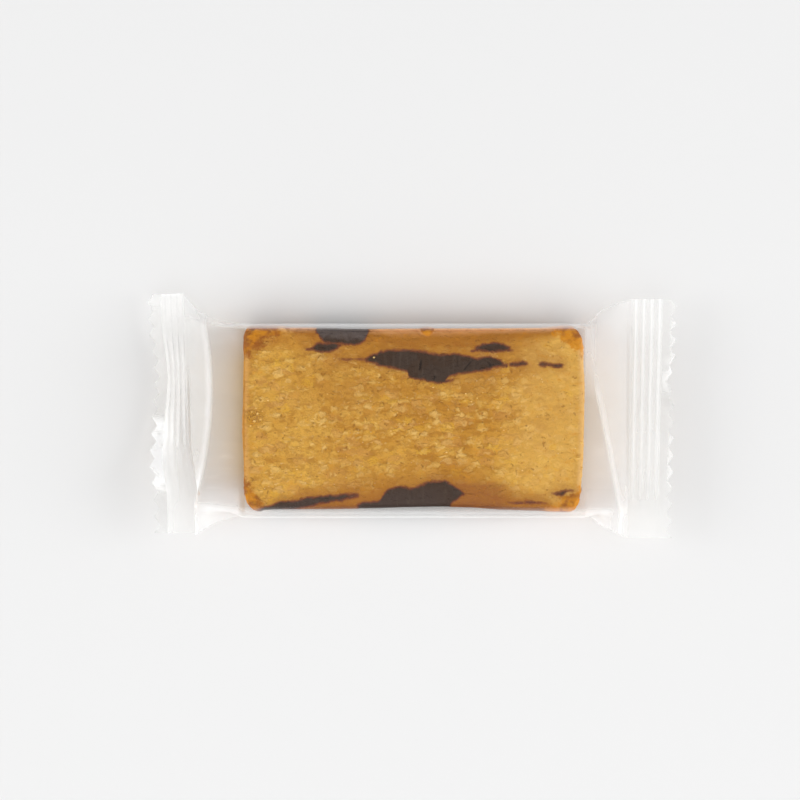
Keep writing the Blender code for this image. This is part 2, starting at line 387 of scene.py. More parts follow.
SEAL_STEPS_PER_RIDGE = 10
RIDGE_STEP = RIDGE_PITCH / SEAL_STEPS_PER_RIDGE
PLAIN_STEPS = 8
GUSSET_STEPS = 44
TUBE_STEPS = 64


def end_sections(end, film, slice_end):
    """Functions of (along, top), one for each section of the film from the slice's end to the cut edge."""

    def plain(along, top, share):
        out = RIDGED + share * (PLAIN_STRIP + TOOTH_DEPTH - tooth_cut(along))
        return seal_point(end, along, top, out, film, share == 1)

    sections = [
        lambda along, top, share=i / GUSSET_STEPS: gusset_point(end, along, top, share, film, slice_end)
        for i in range(GUSSET_STEPS + 1)
    ]
    sections += [
        lambda along, top, out=i * RIDGE_STEP: seal_point(end, along, top, out, film)
        for i in range(1, SEAL_STEPS_PER_RIDGE * RIDGE_COUNT + 1)
    ]
    return sections + [
        lambda along, top, share=i / PLAIN_STEPS: plain(along, top, share) for i in range(1, PLAIN_STEPS + 1)
    ]


def film_sections(film, half_length):
    left_end, right_end = SLICE_CENTRE.x - half_length, SLICE_CENTRE.x + half_length

    def tube_at(x):
        def section(along, top):
            y, z = tube_section(along, top)
            return Vector((x, y + TUBE_CENTRE_Y, z))
        return section

    tube = [tube_at(left_end + 0.25 * MM)]
    tube += [tube_at(mix(left_end, right_end, i / TUBE_STEPS)) for i in range(1, TUBE_STEPS)]
    return end_sections(-1, film, left_end)[::-1] + tube + end_sections(1, film, right_end)


def seal_haze_and_light(end, point, out):
    """Haze and painted highlights on the upper side of a seal, this far out from its inner line."""
    y = point.y / MM
    if out < RIDGED:
        crest = math.sin(math.pi * out / RIDGE_PITCH) ** 6
        haze_and_painted_light = between(SEAL_HAZE[end], y) + between(CREST_WHITENING_AND_HIGHLIGHT[end], y) * crest
        return haze_and_painted_light + between(OUTER_HAZE[end], y) * (out / RIDGED) ** 2
    haze_and_painted_light = between(FRINGE_HAZE[end], y)
    if end < 0:
        # Painted highlight: a white patch on the left fringe's plain strip
        painted_patch = smooth_step((y - FRINGE_HIGHLIGHT_FROM) / 3) * smooth_step((FRINGE_HIGHLIGHT_TO - y) / 3)
        return haze_and_painted_light + FRINGE_PAINTED_HIGHLIGHT * painted_patch * clamp(0.8 + 0.9 * grain(point / MM, 0.8, 11.0))
    return haze_and_painted_light + between(TOOTH_PAINTED_HIGHLIGHT, y) if out > RIDGED + PLAIN_STRIP else haze_and_painted_light


def bend_painted_highlight(round_corner, at_back, in_gap):
    """Painted highlight, as haze, where the film bends down a long side, at this share of the way round the
    bend.
    """
    haze_and_painted_light, centre, reach = BACK_BEND_HIGHLIGHT if at_back else FRONT_BEND_HIGHLIGHT
    bend = haze_and_painted_light * hump(round_corner - centre, reach)
    if not at_back:
        bend += FRONT_EDGE_PAINTED_LIGHT * (1 - in_gap) * smooth_step((round_corner - 0.45) / 0.4)
    return max(bend, LOW_BEND_PAINTED_LIGHT * smooth_step(2 * round_corner - 1))


def film_haze_and_light(point, along, top, out):
    """How milky the film is, with painted light and shade in it, from -1 in a crease of painted shade through
    0 where clear to about 5 where white.

    It is clear round the slice. Painted highlights whiten it where it bends down the long sides and at its
    folds, and most of all on the crests of the ridges, where the film is also whitened, and on a patch of the
    left fringe; a painted reflection of the side light whitens the gussets.
    """
    end = 1 if point.x > 0 else -1
    if out > 0:
        return seal_haze_and_light(end, point, out) * (1 if top else 0.5)
    y = point.y / MM
    rim_y = clamp(along, -FLAT_HALF, FLAT_HALF) + TUBE_CENTRE_Y
    past_fold = abs(point.x) - abs(fold_line(end, rim_y))
    round_corner = (abs(along) - FLAT_HALF) / CORNER_ARC
    at_slice = 1 - smooth_step(past_fold / (3 * MM) + 1)
    if not top:
        side_wall = mix(4.0, 1.5, (round_corner - 1) * CORNER_ARC / SIDE_HALF)
        side_wall *= at_slice * smooth_step(3 * round_corner - 2)
        return 0.3 * smooth_step((past_fold + 0.5 * MM) / (4 * MM)) + side_wall
    in_gap = smooth_step((abs(point.x) - GAP_FROM_X) / HAZE_FADE)
    in_gusset = smooth_step(past_fold / HAZE_FADE + 0.5)
    haze_and_painted_light = mix(between(GAP_HAZE[end], y) * in_gap, between(GUSSET_HAZE_AND_REFLECTION[end], y), in_gusset)
    haze_and_painted_light += between(FOLD_PAINTED_HIGHLIGHT[end], y) * hump(past_fold - 0.3 * MM, 1.1 * MM)
    haze_and_painted_light -= between(PAINTED_CREASE_SHADE[end], y) * hump(out + 0.25 * MM, 0.3 * MM)
    return haze_and_painted_light + at_slice * bend_painted_highlight(round_corner, along > 0, in_gap)


def film_quiet(point, along, top, loose, past_slice):
    """How much the film's mirror gloss is faded, from 0 to 1, this far past the slice's nearer end."""
    corner = (abs(along) - FLAT_HALF) / CORNER_ARC
    ends = between(QUIET[1 if point.x > 0 else -1], point.y / MM) * loose
    sides = QUIET_SIDES * smooth_step(corner) * smooth_step(past_slice / MM)
    front = QUIET_FRONT * hump(corner - 0.1, 0.45) if top and along < 0 else 0.0
    return max(ends, sides, front)


def painted_warm_shade_at(y, beyond):
    """How much painted shade, tinted with the slice's golden bounce light, the film shows this far beyond its
    left end, less at its corners.
    """
    if beyond < -0.1 * MM:
        return 0.0
    return PAINTED_WARM_SHADE * (1 - 0.6 * smooth_step((abs(y) - 9 * MM) / (6 * MM))) * math.exp(-beyond / PAINTED_WARM_SHADE_REACH)


def film_ripple(point, loose):
    """Slow waves in the film, in metres outwards, strongest where it is loose."""
    in_mm = point / MM
    waves = grain(in_mm, 0.22, 3.0, 1.8) * 0.22 + grain(in_mm, 0.6, 8.0, 2.5) * 0.09
    return waves * loose * MM + grain(in_mm, 0.12, 5.0, 2.0) * 0.03 * MM * (1 - loose)


def looseness(past_slice):
    """How loose the film is, this far past the slice: taut on the slice and at the seals, loose between."""
    return smooth_step(past_slice / (2.5 * MM)) * smooth_step((9.5 * MM - past_slice) / (3 * MM))


def link_object(name, data):
    obj = bpy.data.objects.new(name, data)
    bpy.context.scene.collection.objects.link(obj)
    return obj


def smooth_piece(name, bm, material):
    """A smoothly shaded object of this mesh, in this material."""
    for face in bm.faces:
        face.smooth = True
    mesh = bpy.data.meshes.new(name)
    bm.to_mesh(mesh)
    bm.free()
    mesh.materials.append(material)
    return link_object(name, mesh)


def tube_grid(rings, columns, layer_names):
    """A grid to roll into a tube, its layers of values, and where each vertex goes.

    A vertex goes to a ring, to the tube's first or second half, and to a share of the way across that half.
    """
    bm = bmesh.new()
    bmesh.ops.create_grid(bm, x_segments=rings, y_segments=2 * columns, size=1.0)
    layers = [bm.verts.layers.float.new(name) for name in layer_names]
    places = []
    for vert in bm.verts:
        share = round((vert.co.y + 1) * columns) / columns
        first = share <= 1
        places.append((vert, round((vert.co.x + 1) / 2 * rings), first, share if first else 2 - share))
    return bm, layers, places


def close_tube(bm):
    bmesh.ops.remove_doubles(bm, verts=bm.verts[:], dist=0.002 * MM)
    bmesh.ops.recalc_face_normals(bm, faces=bm.faces[:])


class BISCOTTI_OT_wrap(bpy.types.Operator):
    """Draws the tube of film round the slice, with its gussets and its crimped, zigzag-cut end seals"""

    bl_idname = "biscotti.wrap"
    bl_label = "Film"

    def execute(self, context):
        film = context.scene.biscotti_film
        half_length = context.scene.biscotti_slice.length / 2
        sections = film_sections(film, half_length)
        rings = len(sections) - 1
        columns = HALF_TEETH * film.columns_per_half_tooth
        bm, layers, places = tube_grid(rings, columns, ("loose", "haze_and_painted_light", "quiet", "painted_warm_shade"))
        loose_layer, haze_and_light_layer, quiet_layer, painted_warm_shade_layer = layers
        for vert, ring, top, share in places:
            along = mix(-HALF_GIRTH, HALF_GIRTH, share)
            vert.co = sections[ring](along, top)
            from_middle = vert.co.x - SLICE_CENTRE.x
            past_slice = abs(from_middle) - half_length
            loose = looseness(past_slice)
            inwards = min(ring, rings - ring)
            if inwards > PLAIN_STEPS:
                out = RIDGE_STEP * (SEAL_STEPS_PER_RIDGE * RIDGE_COUNT + PLAIN_STEPS - inwards)
            else:
                out = RIDGED + (1 - inwards / PLAIN_STEPS) * (PLAIN_STRIP + TOOTH_DEPTH - tooth_cut(along))
            vert[loose_layer] = loose
            vert[haze_and_light_layer] = film_haze_and_light(vert.co, along, top, out)
            if out <= 0:
                vert[quiet_layer] = film_quiet(vert.co, along, top, loose, past_slice)
                if top:
                    vert[painted_warm_shade_layer] = painted_warm_shade_at(vert.co.y, -half_length - from_middle)
        close_tube(bm)
        bm.normal_update()
        for vert in bm.verts:
            vert.co += vert.normal * film_ripple(vert.co, vert[loose_layer])
            vert.co.x += PACK_SHIFT_X
        for edge in bm.edges:
            if edge.is_manifold and edge.calc_face_angle() > math.radians(100):
                edge.smooth = False
        wrap = smooth_piece("film", bm, film_material(film))
        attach(wrap, "root")
        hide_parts(PACK_NODE)
        return {"FINISHED"}


SEAM_COLUMNS = 36
SEAM_LAYERS = 0.17 * MM
SEAM_RIDGE_PITCH = 1.0 * MM
SEAM_RIDGE_HEIGHT = 0.05 * MM


class BISCOTTI_OT_fold_seam(bpy.types.Operator):
    """Folds the film's long seam flat against the underside, from one cut edge to the other"""

    bl_idname = "biscotti.fold_seam"
    bl_label = "Long Seam"

    def execute(self, context):
        film = context.scene.biscotti_film
        half_length = context.scene.biscotti_slice.length / 2
        sections = film_sections(film, half_length)
        rings = len(sections) - 1
        bm, (haze_and_light_layer, quiet_layer), places = tube_grid(rings, SEAM_COLUMNS, ("haze_and_painted_light", "quiet"))
        for vert, ring, lower, share in places:
            along = mix(-SEAM_WIDTH / 2, SEAM_WIDTH / 2, share)
            point = sections[ring](along, False)
            point.z -= film_ripple(point, looseness(abs(point.x - SLICE_CENTRE.x) - half_length))
            ridge = math.sin(math.pi * along / SEAM_RIDGE_PITCH) ** 2
            depth = 0.04 * MM + SEAM_LAYERS / 2
            if ring not in (0, rings) and 0 < share < 1:
                depth += (SEAM_LAYERS / 2 + SEAM_RIDGE_HEIGHT * ridge) * (1 if lower else -1)
            point.z -= min(depth, point.z - 0.02 * MM)
            vert.co = point + Vector((PACK_SHIFT_X, 0, 0))
            vert[haze_and_light_layer] = 0.12 * ridge
            vert[quiet_layer] = 1.0
        close_tube(bm)
        seam = smooth_piece("long_seam", bm, film_material(film))
        seam.visible_shadow = seam.visible_diffuse = False
        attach(seam, "root")
        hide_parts(PACK_NODE)
        return {"FINISHED"}


# The shape of the slice. Places on it are in millimetres from its middle.

WAIST_TOP = ((-31, 0.0), (-25, 0.0), (-24, 0.35), (-21, 0.3), (-16, 0.35), (-13, 0.6), (-8, 0.65), (-2, 0.55),
             (10, 0.5), (24, 0.4), (27.5, 0.2), (28.5, 0.0), (31, 0.0))
WAIST_BOTTOM = ((-31, 0.1), (-28, 0.3), (-24, 0.4), (-14, 0.45), (-6, 0.6), (-2, 0.75), (5, 0.9), (11, 0.75),
                (16, 0.35), (24, 0.1), (28.5, -0.1), (31, 0.0))

# How far the left and right ends bulge, as (y, outwards)
BULGE = {-1: ((-17.5, -1.2), (-15.9, -0.57), (-13.7, 0.0), (-9, 0.15), (-6.9, 0.22), (-4.6, 0.38),
              (-2.4, 0.45), (0, 0.45), (2.2, 0.3), (6.7, 0.28), (13.5, 0.1), (15.8, 0.0)),
         1: ((-17.5, -1.6), (-15.9, -1.1), (-13.7, -0.62), (-11.4, -0.43), (-9.2, -0.23), (-6.9, -0.1),
             (-2.4, 0.0), (2.2, 0.1), (6.7, 0.13), (11.2, -0.1), (13.5, -0.2), (15.2, -0.5), (16.4, -1.05),
             (17.5, -1.9))}

# How far in from each long side the baked skin reaches, as (x, y) along the line where the crumb begins
SKIN_TOP = ((-24.5, 17.3), (-21.6, 15.4), (-14, 14.8), (-8.4, 13.9), (-2.7, 12.9), (8.6, 12.9), (16.1, 14.2),
            (21.8, 14.8), (26.5, 15.9), (28, 17.3))
SKIN_BOTTOM = ((-29, -17.3), (-21.6, -15.0), (-12.9, -14.0), (-6.7, -13.3), (-1.8, -12.5), (1.9, -12.3),
               (8.8, -11.9), (13, -12.8), (16.7, -14.0), (20.4, -15.0), (24, -15.3), (28, -17.3))

# How far from the slice's middle line the skin is complete
SKIN_EDGE = 17.6

# The raised corners, as (side of X, side of Y): (reach along X, reach along Y)
EARS = {(-1, 1): (9.0, 7.0), (1, 1): (7.5, 6.5), (1, -1): (8.5, 5.5), (-1, -1): (4.8, 7.0)}
EAR_CURVE = 1.15

# A small knob on the top long side, as the ears are: (x, y, reach along X, reach along Y)
KNOB = (2.4, 17.0, 1.6, 1.5)

# The rough browned spot by the left edge, as (x, y, reach along X, reach along Y)
ROUGH_SPOT = (-30.3, 0.2, 2.1, 1.9)

# Places where the crumb is baked a little browner, as (x, y, reach along X, reach along Y, share)
BROWNER = ((-11.8, 4.8, 15.0, 6.0, 0.60), (12.2, 6.6, 8.5, 4.5, 1.0), (-12.0, -10.4, 10.0, 3.5, 0.45),
           (-14.5, 10.6, 11.0, 4.0, 0.75), (0.6, 2.4, 7.0, 4.0, 0.35), (22.0, 6.0, 6.0, 5.0, 0.35),
           (23.7, 12.6, 6.5, 2.6, 0.9))

# The coffee swirls on the top face, each as (x, lowest y, highest y) from its left tip to its right tip.
# A faint reddish streak has its lowest y above its highest.
SWIRLS = (
    ((-9.0, 10.95, 11.15), (-8.0, 10.65, 11.6), (-6.9, 10.4, 12.0), (-6.4, 10.2, 12.6), (-5.0, 9.8, 12.8),
     (-3.5, 9.55, 12.85), (-2.0, 9.25, 12.8), (-1.35, 9.05, 12.7), (-1.1, 8.1, 12.7), (-0.1, 7.8, 12.6),
     (1.8, 7.6, 12.35), (2.9, 7.1, 12.1), (4.1, 6.9, 12.0), (5.4, 6.9, 12.0), (6.1, 7.35, 12.0),
     (6.5, 8.2, 12.0), (8.2, 8.6, 12.0), (9.7, 8.7, 11.8), (10.5, 8.9, 11.6), (11.6, 9.15, 11.2),
     (13.1, 9.4, 11.4),
     (14.6, 9.6, 11.4), (15.8, 9.9, 11.05), (16.9, 10.1, 10.5), (17.5, 10.2, 10.3)),
    ((-18.4, 16.2, 16.6), (-17.9, 15.4, 20.0), (-16.9, 14.6, 20.0), (-15.5, 14.25, 20.0), (-13.0, 14.2, 20.0),
     (-11.0, 14.2, 20.0), (-9.8, 14.6, 20.0), (-9.0, 15.8, 20.0), (-8.7, 16.8, 17.0)),
    ((-19.3, 13.15, 13.3), (-18.6, 12.85, 13.8), (-17.6, 12.7, 14.1), (-16.0, 12.7, 14.1),
     (-15.2, 13.0, 14.0), (-14.6, 13.3, 13.7)),
    ((11.9, 13.1, 13.3), (12.9, 12.9, 13.8), (14.2, 12.8, 14.15), (15.8, 12.8, 14.2), (16.9, 12.95, 14.05),
     (17.7, 13.3, 13.6)),
    ((18.3, 10.25, 10.25), (19.3, 10.15, 10.45), (20.6, 10.15, 10.55), (21.2, 10.3, 10.4)),
    ((23.7, 10.15, 10.25), (25.0, 9.95, 10.4), (25.8, 10.1, 10.1), (26.6, 9.85, 10.3), (27.7, 10.0, 10.1)),
    ((-29.4, -17.6, -17.4), (-25.8, -17.8, -16.0), (-22.7, -17.0, -15.6), (-20.1, -16.4, -15.1),
     (-16.6, -15.8, -14.8), (-12.9, -15.1, -14.5), (-10.8, -14.6, -14.5)),
    ((-10.4, -20.0, -16.4), (-9.6, -20.0, -15.9), (-6.9, -20.0, -15.8), (-6.4, -20.0, -15.4),
     (-5.8, -20.0, -14.5), (-5.0, -20.0, -13.7), (-4.0, -20.0, -13.3), (-2.7, -20.0, -13.05),
     (-1.4, -20.0, -13.15), (-0.6, -20.0, -13.45), (0.2, -20.0, -13.1), (1.2, -20.0, -12.6),
     (2.5, -20.0, -12.2), (4.0, -20.0, -12.0), (5.8, -20.0, -12.05), (6.6, -16.4, -12.3), (7.2, -15.5, -12.5),
     (8.1, -15.0, -13.2), (8.8, -14.5, -13.9), (9.1, -14.25, -14.2)),
    ((26.1, -14.1, -14.3), (27.0, -14.2, -14.1), (27.6, -14.3, -13.9), (28.1, -14.2, -13.8),
     (28.9, -13.7, -13.8), (29.9, -13.5, -13.7)),
    ((-14.0, 11.4, 11.0), (-12.4, 11.35, 11.15), (-11.4, 11.5, 10.9), (-10.2, 11.2, 11.2),
     (-8.8, 11.15, 11.15)),
    ((-20.2, 13.4, 13.0), (-19.2, 13.3, 13.15)),
    ((-14.7, 13.75, 13.55), (-13.6, 13.9, 13.6)),
    ((10.9, 12.95, 12.75), (12.2, 13.1, 12.8), (13.1, 13.0, 12.95)),
    ((17.0, 13.1, 13.0), (18.3, 13.0, 12.8)),
    ((5.6, 7.1, 7.1), (6.5, 7.3, 7.2), (7.3, 7.5, 7.3)),
    ((18.0, -15.5, -15.9), (20.2, -15.7, -15.9), (22.0, -15.9, -15.95), (23.2, -15.9, -16.0),
     (24.6, -15.7, -16.1)),
)
SWIRL_REACH = 3.0

# Cracks across the coffee dough, as (upper x, upper y, lower x, lower y, depth)
CRACKS = ((1.35, 11.3, 0.95, 8.9, 1.0), (3.85, 8.4, 3.7, 7.1, 1.0), (10.9, 11.1, 9.3, 8.9, 0.9),
          (8.2, 11.9, 8.1, 9.9, 0.55), (13.9, 11.0, 14.6, 9.6, 0.8), (1.9, 12.4, 2.4, 11.7, 0.8),
          (3.95, 10.8, 4.1, 9.0, 0.4), (-4.2, 11.7, -4.5, 10.0, 0.45), (-3.4, 12.2, -3.7, 10.0, 0.35),
          (-0.5, -13.4, -0.3, -15.4, 0.5), (-3.9, -14.2, -3.8, -15.6, 0.3), (3.3, -13.5, 3.4, -15.6, 0.3))


def swirl_depth(x, y):
    """How far inside a coffee swirl a place is, in millimetres, and below zero outside them all."""
    deepest = -SWIRL_REACH
    for swirl in SWIRLS:
        left, right = swirl[0][0], swirl[-1][0]
        if not left - SWIRL_REACH < x < right + SWIRL_REACH:
            continue
        for (x0, low0, high0), (x1, low1, high1) in zip(swirl, swirl[1:]):
            if x <= x1 or (x1, low1, high1) == swirl[-1]:
                share = clamp((x - x0) / (x1 - x0))
                low, high = mix(low0, low1, share), mix(high0, high1, share)
                break
        inside = min(high - y, y - low)
        beside = max(left - x, x - right, 0.0)
        if beside:
            inside = -math.hypot(beside, max(-inside, 0.0))
        deepest = max(deepest, inside)
    return clamp(deepest, -SWIRL_REACH, SWIRL_REACH)


def swirl_at(place, top_z):
    """The swirl's depth anywhere on the slice: the dough runs through it and drifts on its way down."""
    down = top_z - place.z
    wander = Vector((grain(place, 0.5, 21.0), grain(place, 0.5, 27.0), 0)) * 0.28
    fine = Vector((grain(place, 1.8, 31.0), grain(place, 1.8, 37.0), 0)) * 0.12
    x = place.x + wander.x + fine.x + 0.30 * down * grain(place, 0.11, 41.0) + 0.10 * down
    y = place.y + wander.y + fine.y + 0.35 * down * grain(place, 0.09, 43.0, 2.0)
    return swirl_depth(x, y)


def skin_share(place):
    """How far the baked skin of the long sides covers this place, from 0 on the crumb to 1 at the side."""
    uneven = 0.35 * grain(place, 0.5, 51.0) + 0.2 * grain(place, 1.6, 53.0)
    line = abs(between(SKIN_TOP if place.y > 0 else SKIN_BOTTOM, place.x))
    return clamp((abs(place.y) - line + uneven) / max(SKIN_EDGE - line, 0.3), -1.0, 1.0)


def ear_share(place, half_length, half_width):
    """How far a raised corner covers this place, from 0 outside to 1 at the corner itself."""
    reach_x, reach_y = EARS[1 if place.x > 0 else -1, 1 if place.y > 0 else -1]
    dx = max(half_length - abs(place.x), 0.0) / reach_x
    dy = max(half_width - abs(place.y), 0.0) / reach_y
    uneven = 0.22 * grain(place, 0.9, 61.0) + 0.12 * grain(place, 2.4, 63.0)
    x, y, knob_x, knob_y = KNOB
    knob = 1 - math.hypot((place.x - x) / knob_x, (place.y - y) / knob_y)
    return clamp(max(1 - (dx ** EAR_CURVE + dy ** EAR_CURVE) ** (1 / EAR_CURVE) + uneven, knob))


def rough_spot(place):
    """The rough browned spot by the left edge, from 0 outside to 1 at its middle."""
    x, y, reach_x, reach_y = ROUGH_SPOT
    away = math.hypot((place.x - x) / reach_x, (place.y - y) / reach_y)
    return clamp(1.25 - away + 0.35 * grain(place, 1.1, 85.0) + 0.2 * grain(place, 2.8, 87.0))


def smudge_share(place):
    """How much browner the crumb is baked here, from 0 to 1."""
    most = 0.0
    for x, y, reach_x, reach_y, share in BROWNER:
        away = math.hypot((place.x - x) / reach_x, (place.y - y) / reach_y) - 0.3 * grain(place, 0.25, 91.0)
        most = max(most, share * (1 - smooth_step(away)))
    return most


def crack_depth(place):
    """How deep a crack runs here, from 0 to 1."""
    wander = 0.18 * grain(place, 1.1, 97.0)
    deepest = 0.0
    for upper_x, high, lower_x, low, depth in CRACKS:
        if low < place.y < high:
            across = abs(place.x + wander - mix(lower_x, upper_x, (place.y - low) / (high - low)))
            ends = smooth_step(min(place.y - low, high - place.y) / 0.4)
            deepest = max(deepest, depth * (1 - across / 0.3) * ends)
    return deepest


def rounded_plan(x, y, half, corner):
    """Moves a point of a rectangle inwards at its corners, so that its outline gets this corner radius."""
    u = (abs(x) - half.x + corner) / corner
    v = (abs(y) - half.y + corner) / corner
    if u > 0 and v > 0:
        x = math.copysign(half.x - corner + corner * u * math.sqrt(1 - v * v / 2), x)
        y = math.copysign(half.y - corner + corner * v * math.sqrt(1 - u * u / 2), y)
    return x, y


def rounded_block(square, half, corner, edge_round):
    """The place and outward direction on the rounded slice of a point on a plain block of the same size."""
    x, y = rounded_plan(square.x, square.y, half, corner)
    core = Vector((clamp(x, corner - half.x, half.x - corner), clamp(y, corner - half.y, half.y - corner)))
    out = Vector((x, y)) - core
    reach = out.length
    up = math.copysign(1, square.z)
    beside = clamp(1 - (corner - reach) / edge_round)
    above = clamp(1 - (half.z - abs(square.z)) / edge_round)
    turned_out = beside * math.sqrt(1 - above * above / 2)
    turned_up = above * math.sqrt(1 - beside * beside / 2)
    if beside and above:
        out *= (corner - edge_round * (1 - turned_out)) / reach
    sideways = out.normalized() * turned_out if beside else Vector((0, 0))
    outward = Vector((sideways.x, sideways.y, up * turned_up)).normalized()
    z = up * (half.z - edge_round * (1 - turned_up)) if above else square.z
    return Vector((core.x + out.x, core.y + out.y, z)), outward, corner - out.length


def crumb_relief(place):
    """Height of the open crumb in millimetres: soft lumps drawn out along X, with pits between them."""
    stretched = Vector((place.x * 0.62, place.y, place.z))
    lumps = 0.065 * grain(place, 0.9, 71.0, 1.7) + 0.045 * grain(place, 2.1, 73.0, 1.5)
    distances, _ = noise.voronoi(stretched * 1.15)
    cells = 0.05 * clamp((distances[1] - distances[0]) * 2.2) - 0.035
    pore_distances, _ = noise.voronoi(stretched * 0.8 + Vector((9.1, 4.7, 2.3)))
    open_here = clamp(grain(place, 0.35, 77.0) * 2 + 0.35)
    pores = -0.16 * clamp(1 - pore_distances[0] * 3.4) * open_here
    return lumps + cells + pores


MASKS = ("swirl", "skin", "ear", "crack", "rim", "spot", "smudge")


class BISCOTTI_OT_bake(bpy.types.Operator):
    """Shapes the baked slice: its waisted sides, raised corners, open crumb and cracked coffee swirls"""

    bl_idname = "biscotti.bake"
    bl_label = "Slice"

    def execute(self, context):
        settings = context.scene.biscotti_slice
        half = Vector((settings.length, settings.width, settings.thickness)) / 2 / MM
        corner_round, edge_round = settings.corner_round / MM, settings.edge_round / MM
        ceiling = HEADROOM / MM

        bm = bmesh.new()
        bmesh.ops.create_cube(bm, size=1.0)
        for axis, divisions in enumerate(SLICE_DIVISIONS):
            edges = [edge for edge in bm.edges if abs(edge.verts[0].co[axis] - edge.verts[1].co[axis]) > 0.5]
            bmesh.ops.subdivide_edges(bm, edges=edges, cuts=divisions - 1, use_grid_fill=True)

        masks = {name: bm.verts.layers.float.new(name) for name in MASKS}
        for vert in bm.verts:
            square = Vector(2 * vert.co[i] * half[i] for i in range(3))
            place, outward, inset = rounded_block(square, half, corner_round, edge_round)
            waist = between(WAIST_TOP if place.y > 0 else WAIST_BOTTOM, place.x)
            place.y -= math.copysign(waist * abs(place.y / half.y) ** 6, place.y)
            end = 1 if place.x > 0 else -1
            place.x += end * between(BULGE[end], place.y) * abs(place.x / half.x) ** 8

            swirl = swirl_at(place, half.z)
            skin = skin_share(place)
            ear = ear_share(place, half.x, half.y)
            crack = crack_depth(place) * smooth_step(swirl * 2 + 0.6) if place.z > half.z - 1.5 else 0.0
            spot = rough_spot(place)
            skinned = max(skin, 0.0)
            covered = smooth_step(skinned * 2.5) * (1 - smooth_step(ear * 3))

            relief = crumb_relief(place) * (1 - 0.7 * covered)
            relief += ear * 0.26 + smooth_step(ear * 4) * 0.16 * grain(place, 1.5, 81.0)
            relief += spot * (0.08 + 0.10 * grain(place, 2.2, 83.0))
            in_swirl = smooth_step(swirl * 2.5 + 0.5)
            relief = mix(relief, relief * 0.45 - 0.05, in_swirl) - 0.24 * crack
            if abs(outward.z) > 0.7:
                place.z -= math.copysign(0.9 * skinned ** 2 * (1 - smooth_step(ear * 3)), outward.z)
            place += outward * relief
            headroom = (ceiling - place.z) / CEILING_FADE
            if headroom < 1:
                place.z = ceiling - CEILING_FADE * math.exp(headroom - 1)
            values = (swirl, skin, ear, crack, inset, spot, smudge_share(place))
            for name, value in zip(MASKS, values):
                vert[masks[name]] = value
            vert.co = place * MM + SLICE_CENTRE + Vector((PACK_SHIFT_X, 0, 0))
        biscotti = smooth_piece("biscotti_slice", bm, biscotti_material(settings))
        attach(biscotti, "root")
        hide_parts(PACK_NODE)
        return {"FINISHED"}


# Loose crumbs by the right end, on a swirl, in the rough browned spot and scattered, as (x, y, radius)
CRUMBS = ((31.55, -4.6, 0.26), (30.9, -7.5, 0.24), (31.6, -9.3, 0.26), (-7.6, 11.55, 0.17),
          (30.4, -5.6, 0.15), (-29.6, 0.9, 0.24), (-30.2, -0.5, 0.22), (-29.0, -0.2, 0.20),
          (-30.7, 1.3, 0.18), (-29.9, 2.0, 0.17), (-28.7, 1.4, 0.16), (-30.9, -1.4, 0.17),
          (-29.4, -1.6, 0.19), (-28.4, -1.0, 0.14), (-27.6, 3.4, 0.15),
          (9.7, 4.7, 0.15), (11.9, 3.9, 0.18), (10.8, 3.2, 0.16), (12.9, 4.9, 0.14), (-16.4, 4.6, 0.16),
          (-6.6, 8.3, 0.17), (-12.8, -7.2, 0.15), (6.1, -6.4, 0.16), (20.4, -9.8, 0.15), (24.2, 6.9, 0.14),
          (-22.1, -9.6, 0.17), (-3.2, 1.1, 0.15), (16.9, -2.2, 0.14), (3.6, 5.9, 0.14), (-26.3, -12.4, 0.15))


class BISCOTTI_OT_crumbs(bpy.types.Operator):
    """Scatters a few bright crumbs of the biscuit on the slice"""

    bl_idname = "biscotti.crumbs"
    bl_label = "Crumbs"

    def execute(self, context):
        settings = context.scene.biscotti_slice
        slice_piece = bpy.data.objects["biscotti_slice"]
        bm = bmesh.new()
        for number, (x, y, radius) in enumerate(CRUMBS):
            above = Vector((x * MM + SLICE_CENTRE.x + PACK_SHIFT_X, y * MM + SLICE_CENTRE.y, 0.02))
            found, ground, _, _ = slice_piece.ray_cast(above, Vector((0, 0, -1)))
            if not found:
                continue
            centre = ground + Vector((0, 0, 0.25 * radius * MM))
            grown = bmesh.ops.create_icosphere(bm, subdivisions=2, radius=1.0)
            for vert in grown["verts"]:
                lumpy = 1 + 0.35 * noise.noise(vert.co * 1.3 + Vector((number * 3.7, 0, 0)))
                flat = Vector((1.15 + 0.25 * math.sin(number * 2.3), 0.9, 0.75))
                vert.co = centre + vert.co * flat * lumpy * radius * MM
                vert.co.z = min(vert.co.z, TUBE_TOP - 0.04 * MM)
        crumbs = smooth_piece("crumbs", bm, crumb_material(settings))
        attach(crumbs, "root")
        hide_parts(PACK_NODE)
        return {"FINISHED"}


# Materials

